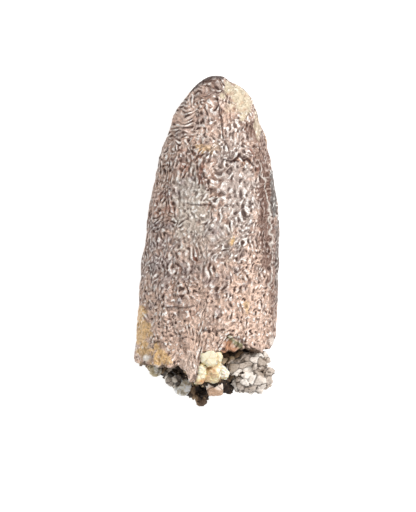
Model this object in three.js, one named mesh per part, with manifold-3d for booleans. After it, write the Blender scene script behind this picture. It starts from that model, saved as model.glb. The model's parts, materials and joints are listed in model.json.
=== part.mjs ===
// A fossil sauropod tooth: a broken crown with the pebbly sandstone that it was buried in still
// stuck in its base. It lies on its tongue side, the tip towards +Y and the lip side up, on one
// small flat spot. Millimetres, +Z up, the origin under the middle of the whole piece.
import * as THREE from "three";
import { mergeVertices } from "three/addons/utils/BufferGeometryUtils.js";
import Module from "manifold-3d";

const wasm = await Module();
wasm.setup();

// Driving dimensions of the crown
const TIP_Y = 18.3; // the tip, measured from the middle of the whole piece
const CROWN_LENGTH = 29.9; // tip to the height where the crown is at its widest
const HALF_WIDTH = 7.6; // at the widest
const LIP_HEIGHT = 6.4; // from the crown's own middle up to its lip side
const TONGUE_HEIGHT = 5.0; // from the middle down to its tongue side
const WIDTH_TAPER = 2.8; // power of the curve that narrows the outline to the tip
const DEPTH_TAPER = 2.2; // and of the one that thins the crown
const TIP_LEAN = 1.05; // how far the tip leans towards +X
const LEAN_FALL = 1.33; // how much of that lean is lost by the widest height
const LEAN_POWER = 1.6; // over 1, so the crown bends more the further it is from the tip
const MID_HEIGHT = 5.0; // the crown's middle above the surface at its base
const TIP_DROP = 2.0; // how far the tip curls down towards the tongue side
const TONGUE_SQUARENESS = 2.5; // over 2, so the tongue side is flatter than an ellipse

// Wear and damage
const REST_DEPTH = 0.12; // what the flat spot takes off the tongue side
const FACET_NORMAL = new THREE.Vector3(0.4, 0.42, 0.81).normalize();
const FACET_POINT = new THREE.Vector3(3.6, 14.5, 5.6); // a point on the worn face by the tip
const CARINA_ANGLE = 27; // degrees up the right flank where the side band begins
const CARINA_EDGE = 4; // degrees over which that band's edge rises
const CARINA_STEP = 0.18; // how far the band stands out
const CARINA_START = 0.34; // where it begins, as a share of CROWN_LENGTH
const CARINA_RISE = 0.02; // over what share of the length it rises there
const FLUTE_DEPTH = 0.06;
const LUMP_DEPTH = 0.16;
const LUMP_WIDTH = 3.1;
const LUMP_SEED = 1.3;
const PLAIN_TIP = 0.12; // the share of the length from the tip over which this relief grows
const DISH_DEPTH = 0.98; // bottom of the break's hollow, as a share of CROWN_LENGTH
const DISH_POWER = 0.7; // under 1, so the broken wall drops steeply near the hollow
const DISH_BUMPS = { height: 0.25, width: 2.4, seed: 4.2 };

// Two sets of flutes: how many go round, and how far (radians) and how often they sway lengthwise
const FLUTES = [
  { count: 13, sway: 3, pace: 5 },
  { count: 22, sway: 2, pace: 6 },
];

// Hollows and swellings of the lip side: middle, half sizes and height
const SPOTS = [
  { at: [2.65, -11.65], half: [0.95, 0.75], height: -0.4 }, // chip at the broken edge
  { at: [2.3, 17.65], half: [0.55, 0.45], height: -0.3 }, // nick beside the tip
  { at: [4.1, 16.1], half: [1.5, 1.6], height: 0.28 }, // shoulder below that nick
  { at: [-1.6, 4.4], half: [2.2, 3.2], height: -0.14 }, // shallow worn patch
  { at: [-5.4, 3.1], half: [1.1, 2.4], height: 0.12 },
];
const SPOT_RIM = 1.3; // where a spot ends, in half sizes from its middle
const SPOT_CORE = 0.4; // and where it has its whole height

// The broken edge: degrees round the crown from the right flank, and how far down it reaches as a
// share of CROWN_LENGTH. It reaches furthest down in a tongue beside the middle of the lip side.
const BROKEN_EDGE = [
  [0, 0.965],
  [22, 1.0],
  [36, 1.014],
  [59, 1.0],
  [66, 1.015],
  [91, 1.018],
  [93.6, 1.05],
  [95.3, 1.122],
  [100, 1.118],
  [103, 1.098],
  [106, 1.082],
  [111, 1.07],
  [138, 1.065],
  [143, 1.045],
  [148, 1.063],
  [182, 1.06],
  [215, 1.03],
  [250, 1.05],
  [290, 1.03],
  [330, 0.99],
];
const EDGE_JAG = 0.003;
const JAG_COUNTS = [31, 19, 11]; // teeth round the edge, in three sizes

const WALL_SHARE = 0.87; // the broken wall is as thick as what this leaves of the way to the middle
const PULP_SHARE = 0.3; // the hollow's floor, as a share of that way

// Mesh
const LIP_COLUMNS = 40;
const TONGUE_COLUMNS = 18;
const COLUMNS = LIP_COLUMNS + TONGUE_COLUMNS;
const ROWS = 26;
const ROW_CROWDING = 1.3; // over 1 brings the rings closer together at the tip
const EDGE_PULL = 6; // higher keeps the rings level for longer before they follow the broken edge
const SEAT_TURN = 1.6; // degrees to each side that a grown crown's edge covers too
const DISH_SHARES = [WALL_SHARE, 0.6, PULP_SHARE];

const CORNER_WEAR = 0.22; // how round the corners of a blocky stone are
const SEAT_GAP = 0.05; // clearance between a stone and what holds it
const GRAIN_SHARE = 0.88; // where angular grains have their middles, as a share of the way out of a lump

const DEGREE = Math.PI / 180;

// A bumpy value between about -1 and 1: a few waves that cross at odd angles.
function bumps(p, width, seed) {
  const k = (2 * Math.PI) / width;
  const a = Math.sin(k * (0.92 * p.x + 0.31 * p.y - 0.24 * p.z) + seed);
  const b = Math.sin(k * (0.87 * p.y - 0.38 * p.x + 0.31 * p.z) + 2.1 * seed);
  const c = Math.sin(k * (0.91 * p.z + 0.21 * p.x - 0.36 * p.y) + 3.7 * seed);
  const d = Math.sin(1.7 * k * (0.6 * p.x - 0.5 * p.y + 0.62 * p.z) + 5.3 * seed);
  return (a + b + c + d) / 4;
}

function smoothStep(low, high, value) {
  const s = Math.min(Math.max((value - low) / (high - low), 0), 1);
  return s * s * (3 - 2 * s);
}

// How far down the broken edge reaches at an angle round the crown, in degrees.
function edgeAt(degrees) {
  const turn = ((degrees % 360) + 360) % 360;
  const after = BROKEN_EDGE.findIndex(([angle]) => angle > turn);
  const [highAngle, high] = after < 0 ? [BROKEN_EDGE[0][0] + 360, BROKEN_EDGE[0][1]] : BROKEN_EDGE[after];
  const [lowAngle, low] = BROKEN_EDGE.at(after < 0 ? -1 : after - 1);
  const share = (turn - lowAngle) / (highAngle - lowAngle);
  const a = turn * DEGREE;
  const jag = JAG_COUNTS.reduce((sum, count, i) => sum + Math.sin(count * a + i), 0);
  return low + (high - low) * share + EDGE_JAG * jag;
}

// Where the crown's middle is across the tooth, at a share of its length.
function crownMiddleX(t) {
  return TIP_LEAN - LEAN_FALL * t ** LEAN_POWER;
}

// A point of the crown's outside. t runs down from 0 at the tip to 1 at the widest height and on,
// and degrees go round from the right flank over the lip side. grow swells the crown evenly.
function crownPoint(t, degrees, grow) {
  const left = 1 - Math.min(t, 1);
  const width = HALF_WIDTH * Math.sqrt(1 - left ** WIDTH_TAPER);
  const depth = Math.sqrt(1 - left ** DEPTH_TAPER);
  const c = Math.cos(degrees * DEGREE);
  const s = Math.sin(degrees * DEGREE);
  const lip = s >= 0;
  const power = lip ? 1 : 2 / TONGUE_SQUARENESS;
  const across = Math.sign(c) * Math.abs(c) ** power;
  const up = Math.sign(s) * Math.abs(s) ** power;
  const point = new THREE.Vector3(
    crownMiddleX(t) + width * across,
    TIP_Y - CROWN_LENGTH * t,
    MID_HEIGHT - TIP_DROP * left ** 2 + (lip ? LIP_HEIGHT : TONGUE_HEIGHT) * depth * up,
  );

  const flutes = FLUTES.reduce((sum, { count, sway, pace }) => {
    return sum + Math.sin(count * degrees * DEGREE + sway * Math.sin(pace * t));
  }, 0);
  const lumps = LUMP_DEPTH * bumps(point, LUMP_WIDTH, LUMP_SEED);
  const spots = SPOTS.reduce((sum, { at, half, height }) => {
    const away = Math.hypot((point.x - at[0]) / half[0], (point.y - at[1]) / half[1]);
    return sum + height * smoothStep(SPOT_RIM, SPOT_CORE, away);
  }, 0);
  const flank = ((degrees + 180) % 360) - 180;
  const band = smoothStep(CARINA_ANGLE, CARINA_ANGLE - CARINA_EDGE, Math.abs(flank));
  const carina = CARINA_STEP * band * smoothStep(CARINA_START, CARINA_START + CARINA_RISE, t);
  const relief = smoothStep(0, PLAIN_TIP, t) * (FLUTE_DEPTH * flutes + lumps);
  const out = relief + (lip ? spots : 0) + carina + grow;
  point.x += out * across;
  point.z += out * up;

  const over = point.clone().sub(FACET_POINT).dot(FACET_NORMAL);
  if (over > 0) point.addScaledVector(FACET_NORMAL, grow - over);
  return point;
}

// The edge of a crown that is grown reaches a little to each side too, past the steep steps.
function reachAt(degrees, grow) {
  const sides = grow ? [-SEAT_TURN, 0, SEAT_TURN] : [0];
  return Math.max(...sides.map((side) => edgeAt(degrees + side)));
}

// A point of the broken face: share runs from 1 at the edge to 0 in the middle of its hollow.
// A crown that is grown has this face lower, by more than the gap because the wall is steep.
function breakPoint(share, degrees, grow) {
  const edge = crownPoint(reachAt(degrees, grow), degrees, 0);
  const middle = new THREE.Vector3(crownMiddleX(DISH_DEPTH), 0, MID_HEIGHT);
  const point = edge.clone().lerp(middle, 1 - share);
  const floorY = TIP_Y - CROWN_LENGTH * DISH_DEPTH;
  const fall = smoothStep(PULP_SHARE, 1, share) ** DISH_POWER;
  const rough = DISH_BUMPS.height * (1 - share) * bumps(point, DISH_BUMPS.width, DISH_BUMPS.seed);
  point.y = floorY + (edge.y - floorY) * fall + rough - 2 * grow;
  return point;
}

// Angles of the columns: closer together over the lip side.
function columnAngle(column) {
  if (column < LIP_COLUMNS) return (180 * column) / LIP_COLUMNS;
  return 180 + (180 * (column - LIP_COLUMNS)) / TONGUE_COLUMNS;
}

// The crown as one closed solid: rings from the tip down to the broken edge, then in over the break.
function crown(grow = 0) {
  const rings = [];
  for (let row = 1; row <= ROWS; row++) {
    const down = (row / ROWS) ** ROW_CROWDING;
    rings.push((degrees) => {
      const toEdge = (reachAt(degrees, grow) - 1) * down ** EDGE_PULL;
      return crownPoint(down * (1 + toEdge), degrees, grow);
    });
  }
  for (const share of DISH_SHARES) {
    rings.push((degrees) => breakPoint(share, degrees, grow));
  }

  const points = [crownPoint(0, 90, 0).add(new THREE.Vector3(0, grow, 0))];
  for (const ring of rings) {
    for (let column = 0; column < COLUMNS; column++) {
      points.push(ring(columnAngle(column)));
    }
  }
  points.push(breakPoint(0, 0, 0));

  const faces = [];
  const last = points.length - 1;
  for (let column = 0; column < COLUMNS; column++) {
    const next = (column + 1) % COLUMNS;
    faces.push(0, 1 + next, 1 + column);
    for (let row = 0; row < rings.length - 1; row++) {
      const here = 1 + row * COLUMNS;
      const below = here + COLUMNS;
      faces.push(here + column, below + next, below + column);
      faces.push(here + column, here + next, below + next);
    }
    const inner = 1 + (rings.length - 1) * COLUMNS;
    faces.push(inner + column, inner + next, last);
  }
  return solidOf(points.flatMap((p) => p.toArray()), faces);
}

function solidOf(coordinates, faces) {
  return new wasm.Manifold(
    new wasm.Mesh({
      numProp: 3,
      vertProperties: new Float32Array(coordinates),
      triVerts: new Uint32Array(faces),
    }),
  );
}

// A three.js geometry as a manifold-3d solid.
function solidFrom(geometry) {
  geometry.deleteAttribute("normal");
  geometry.deleteAttribute("uv");
  const merged = mergeVertices(geometry, 1e-4);
  return solidOf(merged.attributes.position.array, merged.index.array);
}

// A stone: a round-ish shape of the given half sizes, with bumps of a height and width of its own.
// detail 0 leaves it with flat faces, like a crystal or a broken grain.
function stone({ at, half, bump = 0, width = 1, seed = 1, detail = 2, turn = [0, 0, 0], block = false }) {
  const geometry = block ? roundedBlock() : new THREE.IcosahedronGeometry(1, detail);
  const position = geometry.attributes.position;
  const p = new THREE.Vector3();
  for (let i = 0; i < position.count; i++) {
    p.fromBufferAttribute(position, i);
    const world = p.clone().multiply(new THREE.Vector3(...half));
    p.multiplyScalar(1 + (bump * bumps(world, width, seed)) / Math.min(...half));
    position.setXYZ(i, p.x, p.y, p.z);
  }
  geometry.scale(...half);
  geometry.applyMatrix4(new THREE.Matrix4().makeRotationFromEuler(new THREE.Euler(...turn)));
  geometry.translate(...at);
  return solidFrom(geometry);
}

// A block of half size 1 with its corners worn round.
function roundedBlock() {
  const geometry = new THREE.BoxGeometry(2, 2, 2, 3, 3, 3);
  const position = geometry.attributes.position;
  for (let i = 0; i < position.count; i++) {
    const p = new THREE.Vector3().fromBufferAttribute(position, i);
    const away = p.length();
    p.multiplyScalar(1 - CORNER_WEAR * (away - 1) * (away - 1));
    position.setXYZ(i, p.x, p.y, p.z);
  }
  return geometry;
}

// The same stone, larger by the seat gap all round: what is cut away from the piece that holds it.
function seat(spec) {
  return stone({ ...spec, half: spec.half.map((size) => size + SEAT_GAP) });
}

function joined(solids) {
  return solids.reduce((whole, solid) => whole.add(solid));
}

function without(solid, cutters) {
  const pieces = cutters.reduce((rest, cutter) => rest.subtract(cutter), solid).decompose();
  return pieces.sort((a, b) => b.volume() - a.volume())[0];
}

// Numbers between 0 and 1 that look random and are the same each time.
function dice(seed) {
  let state = seed;
  return () => {
    state = (state * 16807) % 2147483647;
    return state / 2147483647;
  };
}

// Angular grains more than half sunk in a lump, on the side that the break shows.
function angularGrains(lump, count, size, seed) {
  const roll = dice(seed);
  return Array.from({ length: count }, () => {
    const around = -Math.PI * roll();
    const height = 1 - 1.8 * roll();
    const flat = Math.sqrt(1 - height * height);
    const [hx, hy, hz] = lump.half;
    const at = [
      lump.at[0] + GRAIN_SHARE * hx * flat * Math.cos(around),
      lump.at[1] + GRAIN_SHARE * hy * flat * Math.sin(around),
      lump.at[2] + GRAIN_SHARE * hz * height,
    ];
    const half = [0, 1, 2].map(() => size * (0.7 + 0.6 * roll()));
    return { at, half, detail: 0, turn: [3 * roll(), 3 * roll(), 3 * roll()] };
  });
}

// Stones of the sandstone, each with its middle and half sizes
const GREY_TOP = { at: [4.5, -13.4, 6.4], half: [2.1, 1.25, 2.5], bump: 0.25, width: 1.5, seed: 2.2 };
const GREY_FOOT = { at: [4.85, -15.45, 6.4], half: [2.25, 1.3, 2.3], bump: 0.15, width: 1.6, seed: 0.7 };
const GREY_CHERT = { at: [2.8, -13.9, 8.4], half: [0.85, 0.85, 0.8], bump: 0.06, width: 1.1, seed: 3.1 };
const GREY_SPUR = { at: [6.85, -14.4, 7.2], half: [0.85, 0.6, 0.7], detail: 0, turn: [0.4, 0.1, 0.3] };
const GREY_POST = { at: [6.2, -13.0, 6.8], half: [0.75, 0.8, 1.1], detail: 0, turn: [0.2, 0.5, 0.9] };

const CREAM_HEAD = { at: [0.28, -12.6, 10.55], half: [1.2, 1.0, 1.05], bump: 0.12, width: 1.3, seed: 1.4 };
const CREAM_PILLAR = { at: [-0.8, -14.25, 10.2], half: [0.62, 1.2, 1.0], bump: 0.1, width: 1.2, seed: 5.2 };
const CREAM_SHOULDER = { at: [2.05, -12.8, 9.9], half: [0.8, 0.55, 0.7], bump: 0.06, width: 1.0, seed: 2.9 };
const CREAM_BODY = { at: [0.5, -14.2, 9.2], half: [1.3, 1.35, 1.5], bump: 0.14, width: 1.5, seed: 0.4 };
const CREAM_CRYSTAL = { at: [1.8, -14.35, 9.8], half: [0.68, 0.88, 0.65], detail: 0, turn: [0.3, 0.2, 0.5] };

const GREY_GRAINS = angularGrains(GREY_FOOT, 20, 0.52, 77);
const GREY = [GREY_TOP, GREY_FOOT, GREY_CHERT, GREY_SPUR, GREY_POST, ...GREY_GRAINS];
const CREAM = [CREAM_HEAD, CREAM_PILLAR, CREAM_SHOULDER, CREAM_BODY, CREAM_CRYSTAL];

const CHERT = { at: [-3.75, -15.0, 7.2], half: [1.0, 1.08, 1.0], bump: 0.12, width: 0.9, seed: 4.4 };
const QUARTZ = { at: [-2.65, -16.1, 6.7], half: [0.98, 1.0, 0.95], bump: 0.05, width: 1.2, seed: 2.5 };
const FELDSPAR = { at: [0.8, -16.1, 7.6], half: [0.82, 0.8, 0.85], turn: [0.25, 0.2, 0.1], block: true };
const PALE_GRAIN = { at: [-5.65, -14.35, 6.7], half: [0.72, 0.7, 0.66], bump: 0.05, width: 0.9, seed: 1.1 };

// The brown sandstone that fills the hollow of the break and holds the stones
const FILLING_CORE = {
  at: [0, -13.1, 5.0],
  half: [6.3, 2.95, 3.4],
  bump: 0.42,
  width: 2.0,
  seed: 0.9,
  detail: 3,
};
const FILLING = [
  FILLING_CORE,
  { at: [-2.6, -15.2, 5.6], half: [2.0, 1.35, 1.8], bump: 0.2, width: 1.4, seed: 2.0, detail: 1 },
  { at: [-5.1, -13.6, 5.6], half: [1.6, 1.2, 1.6], bump: 0.12, width: 1.4, seed: 3.3, detail: 1 },
  { at: [-1.55, -16.4, 6.0], half: [0.8, 1.15, 1.1], bump: 0.1, width: 1.0, seed: 4.1, detail: 1 },
  { at: [-0.55, -17.2, 5.7], half: [0.75, 1.1, 0.95], bump: 0.08, width: 1.0, seed: 5.1 },
  { at: [2.15, -16.0, 6.3], half: [0.85, 1.0, 1.4], detail: 0, turn: [0.5, 0.3, 0.2] },
  { at: [0.8, -15.2, 7.2], half: [1.8, 1.3, 1.7], bump: 0.12, width: 1.3, seed: 1.9, detail: 1 },
  ...angularGrains(FILLING_CORE, 11, 0.62, 31),
];
const DARK_PIT = { at: [-0.75, -16.6, 7.1], half: [0.55, 0.75, 0.9] };

// The flat spot is what a block below the crown takes off it.
function cutFlat(solid) {
  const thickness = 10;
  const block = new THREE.BoxGeometry(3 * HALF_WIDTH, 2 * CROWN_LENGTH, thickness);
  block.translate(0, 0, REST_DEPTH - thickness / 2);
  return solid.subtract(solidFrom(block));
}

function material(name, color, roughness) {
  return new THREE.MeshStandardMaterial({ name, color, roughness, metalness: 0 });
}

const materials = {
  enamel: material("weathered_enamel", "#b39b90", 0.5),
  sandstone: material("brown_sandstone", "#5b4638", 0.85),
  grey: material("grey_sandstone", "#a8988a", 0.8),
  calcite: material("cream_calcite", "#e3d6b4", 0.6),
  chert: material("dark_chert", "#4d443d", 0.35),
  quartz: material("clear_quartz", "#b5ab9c", 0.2),
  feldspar: material("pink_feldspar", "#b59b8a", 0.6),
  milky: material("milky_quartz", "#cfc7b2", 0.4),
};

function node(name, solid, look) {
  const { vertProperties, triVerts } = solid.getMesh();
  const geometry = new THREE.BufferGeometry();
  geometry.setAttribute("position", new THREE.BufferAttribute(vertProperties, 3));
  geometry.setIndex(new THREE.BufferAttribute(triVerts, 1));
  const flat = geometry.toNonIndexed();
  flat.computeVertexNormals();
  const mesh = new THREE.Mesh(flat, look);
  mesh.name = name;
  return mesh;
}

const tooth = cutFlat(crown());

// Each piece is cut clear of the tooth and of the pieces named before it.
const PIECES = [
  ["grey_sandstone_lump", materials.grey, GREY, []],
  ["cream_calcite_lump", materials.calcite, CREAM, []],
  ["dark_chert_pebble", materials.chert, [CHERT], []],
  ["clear_quartz_pebble", materials.quartz, [QUARTZ], []],
  ["pink_feldspar_block", materials.feldspar, [FELDSPAR], []],
  ["milky_quartz_grain", materials.milky, [PALE_GRAIN], []],
  ["sandstone_filling", materials.sandstone, FILLING, [DARK_PIT]],
];

const fossil = new THREE.Group();
fossil.add(node("tooth", tooth, materials.enamel));
const taken = [crown(SEAT_GAP)];
for (const [name, look, stones, pits] of PIECES) {
  const solid = without(joined(stones.map(stone)), [...taken, ...pits.map(stone)]);
  fossil.add(node(name, solid, look));
  taken.push(joined(stones.map(seat)));
}
fossil.position.z = -REST_DEPTH;

export default fossil;
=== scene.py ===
import json
import math

import bmesh
import bpy
import numpy as np
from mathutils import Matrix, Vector

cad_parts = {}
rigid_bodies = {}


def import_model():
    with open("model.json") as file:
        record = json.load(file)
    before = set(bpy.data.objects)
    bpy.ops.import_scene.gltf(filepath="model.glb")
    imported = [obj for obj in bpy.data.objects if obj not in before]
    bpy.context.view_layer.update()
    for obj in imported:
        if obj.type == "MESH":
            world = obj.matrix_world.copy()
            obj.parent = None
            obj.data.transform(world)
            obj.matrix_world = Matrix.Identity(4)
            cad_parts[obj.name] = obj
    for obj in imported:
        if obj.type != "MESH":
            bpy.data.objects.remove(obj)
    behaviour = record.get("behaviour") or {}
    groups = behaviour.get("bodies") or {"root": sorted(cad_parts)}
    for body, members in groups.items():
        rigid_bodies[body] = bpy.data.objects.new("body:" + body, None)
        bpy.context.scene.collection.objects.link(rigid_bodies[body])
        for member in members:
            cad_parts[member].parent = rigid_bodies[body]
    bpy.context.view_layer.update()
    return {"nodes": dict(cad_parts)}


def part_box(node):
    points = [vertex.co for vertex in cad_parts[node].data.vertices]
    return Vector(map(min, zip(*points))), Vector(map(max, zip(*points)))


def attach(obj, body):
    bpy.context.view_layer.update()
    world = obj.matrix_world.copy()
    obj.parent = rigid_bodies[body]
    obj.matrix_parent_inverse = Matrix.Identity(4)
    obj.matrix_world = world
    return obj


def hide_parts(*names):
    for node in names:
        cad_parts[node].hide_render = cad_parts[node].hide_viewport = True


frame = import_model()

# A fossil sauropod tooth that lies on its tongue side, seen from straight above with the tip away
# from the viewer. Shapes are worked out in millimetres in the CAD's frame and turned to metres
# when their mesh is made.
MM = 0.001
PHOTO_SIZE = (416, 512)
PIXEL = 0.11  # mm of the fossil that one pixel of the photograph covers, MEASURED_HEIGHT above the floor
MEASURED_HEIGHT = 5.5
ORIGIN_PIXEL = (207.0, 239.6)  # the pixel over the frame's origin
CAMERA_LENS = 85
SENSOR_HEIGHT = 24
AWAY = PHOTO_SIZE[1] * PIXEL * CAMERA_LENS / SENSOR_HEIGHT  # mm from the camera down to MEASURED_HEIGHT
EYE_X = (PHOTO_SIZE[0] / 2 - ORIGIN_PIXEL[0]) * PIXEL
EYE_Y = (ORIGIN_PIXEL[1] - PHOTO_SIZE[1] / 2) * PIXEL

# The crown, with the same values as the CAD solid
TIP_Y = 18.3
CROWN_LENGTH = 29.9
HALF_WIDTH = 7.6
LIP_HEIGHT = 6.4
TONGUE_HEIGHT = 5.0
WIDTH_TAPER = 2.8
DEPTH_TAPER = 2.2
TIP_LEAN = 1.05
LEAN_FALL = 1.33
LEAN_POWER = 1.6
MID_HEIGHT = 5.0
TIP_DROP = 2.0
TONGUE_SQUARENESS = 2.5
REST_DEPTH = 0.12
FACET_NORMAL = np.array((0.4, 0.42, 0.81)) / math.sqrt(0.4**2 + 0.42**2 + 0.81**2)
FACET_POINT = np.array((3.6, 14.5, 5.6))
CARINA_ANGLE = 27
CARINA_EDGE = 4
CARINA_STEP = 0.18
CARINA_START = 0.34
CARINA_RISE = 0.02
FLUTES = [(13, 3, 5), (22, 2, 6)]  # how many, how far they sway (radians) and how often
FLUTE_DEPTH = 0.06
LUMP_DEPTH = 0.16
LUMP_WIDTH = 3.1
LUMP_SEED = 1.3
PLAIN_TIP = 0.12
DISH_DEPTH = 0.98
DISH_POWER = 0.7
DISH_BUMPS = (0.25, 2.4, 4.2)  # height, width and seed of the hollow's bumps
EDGE_JAG = 0.003
JAG_COUNTS = (31, 19, 11)
EDGE_PULL = 6
PULP_SHARE = 0.3
CHIP_ANGLE = 143  # degrees round to the white chip that fills a notch of the edge
CHIP_REACH = 0.018
SPOT_RIM = 1.3
SPOT_CORE = 0.4

# Middle, half sizes and height of the lip side's hollows and swellings, mm
SPOTS = [
    ((2.65, -11.65), (0.95, 0.75), -0.4),
    ((2.3, 17.65), (0.55, 0.45), -0.3),
    ((4.1, 16.1), (1.5, 1.6), 0.28),
    ((-1.6, 4.4), (2.2, 3.2), -0.14),
    ((-5.4, 3.1), (1.1, 2.4), 0.12),
]

# The broken edge: degrees round the crown from the right flank, and how far down it reaches
BROKEN_EDGE = [
    (0, 0.965), (22, 1.0), (36, 1.014), (59, 1.0), (66, 1.015), (91, 1.018), (93.6, 1.05),
    (95.3, 1.122), (100, 1.118), (103, 1.098), (106, 1.082), (111, 1.07), (138, 1.065),
    (143, 1.045), (148, 1.063), (182, 1.06), (215, 1.03), (250, 1.05), (290, 1.03), (330, 0.99),
]

# Mesh of the crown: a point about every 0.1 mm on the lip side, which the camera sees
LIP_COLUMNS = 190
TONGUE_COLUMNS = 104
CROWN_ROWS = 296
ROW_CROWDING = 1.15  # above 1 the rows lie closer at the tip
RIM_RINGS = 8  # of the broken wall, close together at its rim
HOLLOW_RINGS = 12
RIM_SHARES = (0.985, 0.86)  # how wide the first and last of them are, beside the edge
HOLLOW_SHARES = (0.8, 0.12)
BLANK_TIP = 0.03  # share of the crown's length at its tip over which the wrinkles set in
EDGE_WAVE = 0.9  # mm between the finest teeth of the broken edge
BREAK_BUMPS = [(0.1, 0.8, 14), (0.05, 0.35, 15)]  # height and width, mm, and seed

# Enamel wrinkles, mm. The dark grooves between them are one wave apart.
WORM_WAVE = 0.52
WORM_DEPTH = 0.075
SWELL_WAVE = 1.3
SWELL_DEPTH = 0.05
FOLD_WAVE = 2.3
FOLD_DEPTH = 0.07
FOLD_SLANT = 0.6  # so that they go on round the sides
FOLD_STRETCH = 0.16  # well under 1, so that they run along the tooth
SKIN_TRIM = 0.1  # what the wrinkled skin is lowered by, so that it stays inside the CAD solid's box
BENDS = [(0.14, 3.6), (0.07, 1.3)]  # how far the wrinkles' lines wander, and over what length
CALM_WAVE = 6  # between the areas where they run straight and lengthwise
CALM_WIDTH = (3.5, 6.5)  # from the middle of a side, where those areas fade out

# Areas of the photograph: middle and half sizes in pixels, raggedness, seed
STACKED_AREAS = [((178, 121), (19, 22), 0.15, 3), ((205, 92), (20, 10), 0.1, 4)]
STACKED_SHARES = [1.0, 0.6]  # how much of the wrinkles there runs across the tooth
BOLD_AREA = ((232, 184), (20, 32), 0.25, 6)
BOLD_SIZE = 1.3  # times as large as elsewhere
BOLD_STRENGTH = 0.8

# Relief of the marks, mm
CRACK_DEPTH = 0.1
STAR_DEPTH = 0.18
NICK_DEPTH = 0.6
CHIP_RISE = 0.22
BALL_RISE = 0.2
CRUST_RISE = 0.15
CRUST_WAVE = 0.7


def seen(points):
    """The pixel of the photograph at which each point shows."""
    near = AWAY / (AWAY + MEASURED_HEIGHT - points[..., 2])
    px = PHOTO_SIZE[0] / 2 + (points[..., 0] - EYE_X) / PIXEL * near
    py = PHOTO_SIZE[1] / 2 - (points[..., 1] - EYE_Y) / PIXEL * near
    return np.stack((px, py), axis=-1)


def at_pixel(px, py, height=MEASURED_HEIGHT):
    """The point, mm, that shows at a pixel of the photograph and is so high above the floor."""
    near = AWAY / (AWAY + MEASURED_HEIGHT - height)
    x = EYE_X + (px - PHOTO_SIZE[0] / 2) * PIXEL / near
    y = EYE_Y - (py - PHOTO_SIZE[1] / 2) * PIXEL / near
    return np.array((x, y, height))


def smooth(low, high, value):
    """Rises smoothly from 0 at low to 1 at high, or falls where low is the larger."""
    s = np.clip((value - low) / (high - low), 0, 1)
    return s * s * (3 - 2 * s)


def waves(points, length, seed, count=48, spread=0.16, along=None, scatter=0.5):
    """A random field of ripples of one length, about -2 to 2: many cosines whose directions are
    random, or in 2-D scattered (radians) about the angle along."""
    dice = np.random.default_rng(seed)
    dimensions = points.shape[-1]
    if along is None:
        direction = dice.normal(size=(count, dimensions))
        direction /= np.linalg.norm(direction, axis=1, keepdims=True)
    else:
        angle = along + scatter * dice.normal(size=count)
        direction = np.stack((np.cos(angle), np.sin(angle)), axis=1)
    number = 2 * math.pi / (length * (1 + spread * dice.normal(size=count)))
    phase = dice.uniform(0, 2 * math.pi, count)
    total = np.zeros(points.shape[:-1])
    for k, d, start in zip(number, direction, phase):
        total += np.cos(k * (points @ d) + start)
    return total * math.sqrt(2 / count)


def blob(pixels, middle, half, ragged=0.25, seed=1):
    """1 inside an oval of pixels with a ragged edge, and 0 outside it."""
    away = np.hypot((pixels[..., 0] - middle[0]) / half[0], (pixels[..., 1] - middle[1]) / half[1])
    rough = waves(pixels, 13, seed, count=24, spread=0.4)
    return smooth(1.2, 0.75, away + ragged * rough)


def stroke(pixels, path, width, wobble=1.0, seed=1):
    """1 on a line through the given pixels and 0 at its width away from it."""
    shift = np.stack((waves(pixels, 12, seed, count=24), waves(pixels, 12, seed + 1, count=24)), axis=-1)
    here = pixels + wobble * shift
    away = np.full(pixels.shape[:-1], 1e9)
    corners = [np.array(corner, float) for corner in path]
    for a, b in zip(corners, corners[1:]):
        along = np.clip(((here - a) @ (b - a)) / ((b - a) @ (b - a)), 0, 1)
        nearest = a + along[..., None] * (b - a)
        away = np.minimum(away, np.linalg.norm(here - nearest, axis=-1))
    return smooth(width, 0.3 * width, away)


# Making pieces

def link(piece):
    bpy.context.scene.collection.objects.link(piece)
    return piece


def new_piece(name, points, faces, attributes=None):
    """A mesh object from points in mm, with named values on its points."""
    mesh = bpy.data.meshes.new(name)
    mesh.from_pydata((np.asarray(points) * MM).tolist(), [], faces)
    for key, values in (attributes or {}).items():
        set_values(mesh, key, values)
    mesh.shade_smooth()
    return link(bpy.data.objects.new(name, mesh))


def set_values(mesh, key, values):
    layer = mesh.attributes.get(key) or mesh.attributes.new(key, "FLOAT", "POINT")
    layer.data.foreach_set("value", np.ascontiguousarray(values, np.float32).ravel())


def read_vectors(items, key):
    values = np.zeros(len(items) * 3, np.float32)
    items.foreach_get(key, values)
    return values.reshape(-1, 3).astype(float)


def as_mesh(piece, name):
    """What a piece's modifiers make of it, as a plain mesh object of its own."""
    shown = piece.evaluated_get(bpy.context.evaluated_depsgraph_get())
    mesh = bpy.data.meshes.new_from_object(shown)
    mesh.name = name
    return link(bpy.data.objects.new(name, mesh))


def fine_copy(node, name, voxel, wear):
    """A CAD node's solid as one fine even mesh, its edges worn by that many rounds of smoothing."""
    mesh = frame["nodes"][node].data.copy()
    mesh.materials.clear()
    merge = bmesh.new()
    merge.from_mesh(mesh)
    bmesh.ops.remove_doubles(merge, verts=merge.verts, dist=0.0005 * MM)
    merge.to_mesh(mesh)
    merge.free()
    rough = link(bpy.data.objects.new(name + "_rough", mesh))
    remesh = rough.modifiers.new("voxels", "REMESH")
    remesh.mode = "VOXEL"
    remesh.voxel_size = voxel * MM
    smoothing = rough.modifiers.new("wear", "SMOOTH")
    smoothing.factor = 0.5
    smoothing.iterations = wear
    piece = as_mesh(rough, name)
    bpy.data.objects.remove(rough)
    piece.data.shade_smooth()
    return piece


def stand_for(piece, node):
    """Puts a finished piece in the place of its CAD node: hides the node and hangs the piece on the root
    body.
    """
    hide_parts(node)
    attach(piece, "root")


# Nodes, of materials and of Geometry Nodes alike

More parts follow.
